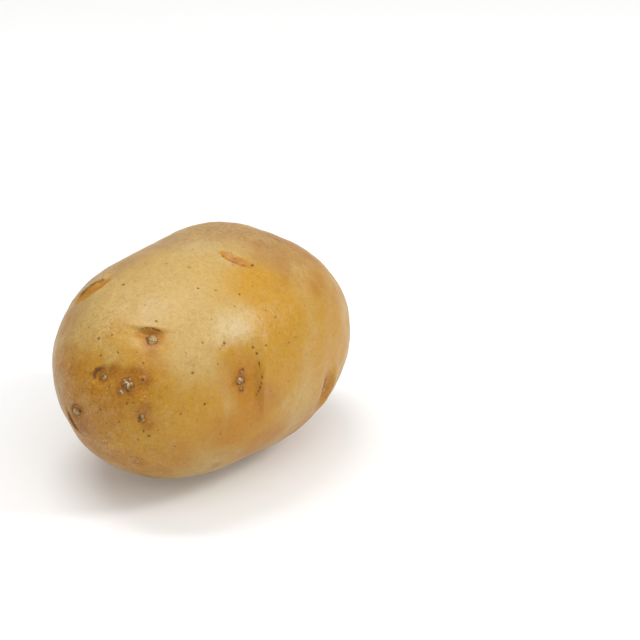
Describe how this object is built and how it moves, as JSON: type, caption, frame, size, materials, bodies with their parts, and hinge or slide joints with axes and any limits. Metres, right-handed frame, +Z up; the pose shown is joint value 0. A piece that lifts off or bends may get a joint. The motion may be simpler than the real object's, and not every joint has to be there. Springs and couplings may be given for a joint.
{
  "type": "potato",
  "caption": "Whole raw yellow-skinned potato lying on its side, an egg-shaped tuber with shallow eyes, small corky buds and a stem scar.",
  "frame": {"origin": "middle of the tuber's box, at its bottom, on the surface that it lies on", "axes": "+Z up; +X along the tuber to the heel end with the stem scar, so the rose end with most eyes is at -X"},
  "size_m": [0.0951, 0.0688, 0.0614],
  "materials": {
    "potato_skin": "satin"
  },
  "bodies": {
    "root": {"potato": "potato_skin"}
  },
  "joints": []
}
